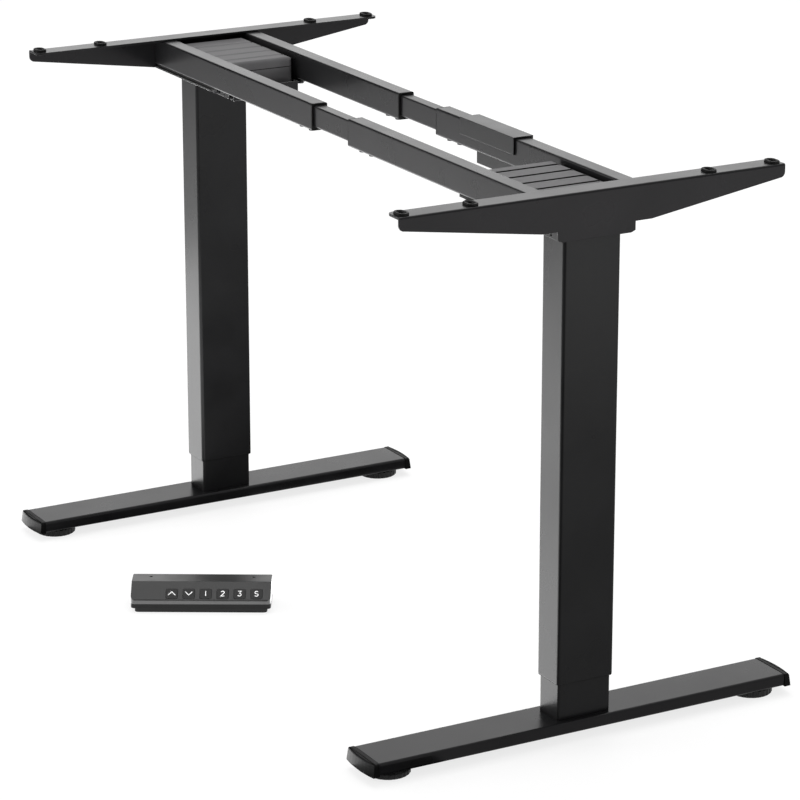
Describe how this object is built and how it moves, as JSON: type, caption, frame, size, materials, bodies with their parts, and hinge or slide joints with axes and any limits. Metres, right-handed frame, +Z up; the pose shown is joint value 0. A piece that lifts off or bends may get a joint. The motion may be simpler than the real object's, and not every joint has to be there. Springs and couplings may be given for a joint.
{
  "type": "standing desk frame",
  "caption": "Height-adjustable desk frame: two motor columns on long feet, telescoping crossbars, slotted side brackets, a control box and a key handset.",
  "frame": {"origin": "on the floor, midway between the two columns, with the columns at their lowest height", "axes": "+X from the left leg to the right leg along the crossbars, +Y from the user's side to the back, +Z up"},
  "size_m": [1.059, 0.6153, 0.703],
  "materials": {
    "black_steel": "black powder coat, satin, very fine texture",
    "cap_plastic": "moulded, matt",
    "cover_plastic": "moulded, matt, lightly textured",
    "box_plastic": "moulded, matt",
    "dark_rubber": "matt black",
    "dark_screws": "black zinc plated",
    "bright_steel": "zinc plated",
    "gearbox_cast": "glass-filled plastic, matt",
    "handset_plastic": "satin black",
    "handset_sole": "matt black",
    "key_plastic": "satin black with white legends",
    "circuit_board": "green solder mask"
  },
  "bodies": {
    "base_left": {"foot_left": "black_steel", "foot_cap_front_left": "cap_plastic", "foot_cap_back_left": "cap_plastic", "foot_bolts_left": "dark_screws", "column_inner_left": "black_steel", "spindle_nut_left": "cap_plastic", "handset_base": "handset_sole", "handset_shell": "handset_plastic", "key_board": "circuit_board"},
    "base_right": {"foot_right": "black_steel", "foot_cap_front_right": "cap_plastic", "foot_cap_back_right": "cap_plastic", "foot_bolts_right": "dark_screws", "column_inner_right": "black_steel", "spindle_nut_right": "cap_plastic"},
    "rails": {"rail_front": "black_steel", "rail_rear": "black_steel"},
    "upper_left": {"column_outer_left": "black_steel", "guide_bush_left": "dark_rubber", "head_tray_left": "black_steel", "damper_strips_left": "dark_rubber", "gearbox_left": "gearbox_cast", "motor_left": "bright_steel", "motor_cover_base_left": "cover_plastic", "motor_cover_top_left": "cover_plastic", "crossbar_front_left": "black_steel", "crossbar_rear_left": "black_steel", "rail_glides_left": "dark_rubber", "side_bracket_left": "black_steel", "desktop_pads_left": "dark_rubber", "head_screws_left": "dark_screws"},
    "screw_left": {"spindle_left": "bright_steel"},
    "level_front_left": {"leveller_front_left": "dark_rubber"},
    "level_back_left": {"leveller_back_left": "dark_rubber"},
    "upper_right": {"column_outer_right": "black_steel", "guide_bush_right": "dark_rubber", "head_tray_right": "black_steel", "damper_strips_right": "dark_rubber", "gearbox_right": "gearbox_cast", "motor_right": "bright_steel", "motor_cover_base_right": "cover_plastic", "motor_cover_top_right": "cover_plastic", "crossbar_front_right": "black_steel", "crossbar_rear_right": "black_steel", "rail_glides_right": "dark_rubber", "side_bracket_right": "black_steel", "desktop_pads_right": "dark_rubber", "head_screws_right": "dark_screws", "control_box_hook": "box_plastic", "control_box_cover": "box_plastic"},
    "screw_right": {"spindle_right": "bright_steel"},
    "level_front_right": {"leveller_front_right": "dark_rubber"},
    "level_back_right": {"leveller_back_right": "dark_rubber"},
    "press_up": {"key_up": "key_plastic"},
    "press_down": {"key_down": "key_plastic"},
    "press_one": {"key_one": "key_plastic"},
    "press_two": {"key_two": "key_plastic"},
    "press_three": {"key_three": "key_plastic"},
    "press_store": {"key_store": "key_plastic"}
  },
  "joints": [
    {"name": "lift_left", "type": "slide", "parent": "base_left", "child": "upper_left", "axis": [0, 0, 1], "range_m": [0, 0.45]},
    {"name": "width_left", "type": "slide", "parent": "upper_left", "child": "rails", "axis": [1, 0, 0], "range_m": [-0.045, 0.27]},
    {"name": "width_right", "type": "slide", "parent": "rails", "child": "upper_right", "axis": [1, 0, 0], "range_m": [-0.045, 0.27]},
    {"name": "lift_right", "type": "slide", "parent": "upper_right", "child": "base_right", "axis": [0, 0, -1], "range_m": [0, 0.45]},
    {"name": "screw_turn_left", "type": "hinge", "parent": "upper_left", "child": "screw_left", "pos_m": [-0.495, 0, 0.65], "axis": [0, 0, 1], "range_deg": [0, 20260]},
    {"name": "level_front_left", "type": "slide", "parent": "base_left", "child": "level_front_left", "axis": [0, 0, -1], "range_m": [0, 0.01]},
    {"name": "level_back_left", "type": "slide", "parent": "base_left", "child": "level_back_left", "axis": [0, 0, -1], "range_m": [0, 0.01]},
    {"name": "screw_turn_right", "type": "hinge", "parent": "upper_right", "child": "screw_right", "pos_m": [0.495, 0, 0.65], "axis": [0, 0, 1], "range_deg": [0, 20260]},
    {"name": "level_front_right", "type": "slide", "parent": "base_right", "child": "level_front_right", "axis": [0, 0, -1], "range_m": [0, 0.01]},
    {"name": "level_back_right", "type": "slide", "parent": "base_right", "child": "level_back_right", "axis": [0, 0, -1], "range_m": [0, 0.01]},
    {"name": "press_up", "type": "slide", "parent": "base_left", "child": "press_up", "axis": [-0.4967, 0.2868, -0.8192], "range_m": [0, 0.0008], "stiffness_N_per_m": 500, "springref_m": -0.002},
    {"name": "press_down", "type": "slide", "parent": "base_left", "child": "press_down", "axis": [-0.4967, 0.2868, -0.8192], "range_m": [0, 0.0008], "stiffness_N_per_m": 500, "springref_m": -0.002},
    {"name": "press_one", "type": "slide", "parent": "base_left", "child": "press_one", "axis": [-0.4967, 0.2868, -0.8192], "range_m": [0, 0.0008], "stiffness_N_per_m": 500, "springref_m": -0.002},
    {"name": "press_two", "type": "slide", "parent": "base_left", "child": "press_two", "axis": [-0.4967, 0.2868, -0.8192], "range_m": [0, 0.0008], "stiffness_N_per_m": 500, "springref_m": -0.002},
    {"name": "press_three", "type": "slide", "parent": "base_left", "child": "press_three", "axis": [-0.4967, 0.2868, -0.8192], "range_m": [0, 0.0008], "stiffness_N_per_m": 500, "springref_m": -0.002},
    {"name": "press_store", "type": "slide", "parent": "base_left", "child": "press_store", "axis": [-0.4967, 0.2868, -0.8192], "range_m": [0, 0.0008], "stiffness_N_per_m": 500, "springref_m": -0.002}
  ],
  "couplings": [
    {"joint": "lift_right", "follows": "lift_left", "ratio": 1},
    {"joint": "screw_turn_left", "follows": "lift_left", "rad_per_m": 785.4},
    {"joint": "screw_turn_right", "follows": "lift_left", "rad_per_m": 785.4}
  ]
}
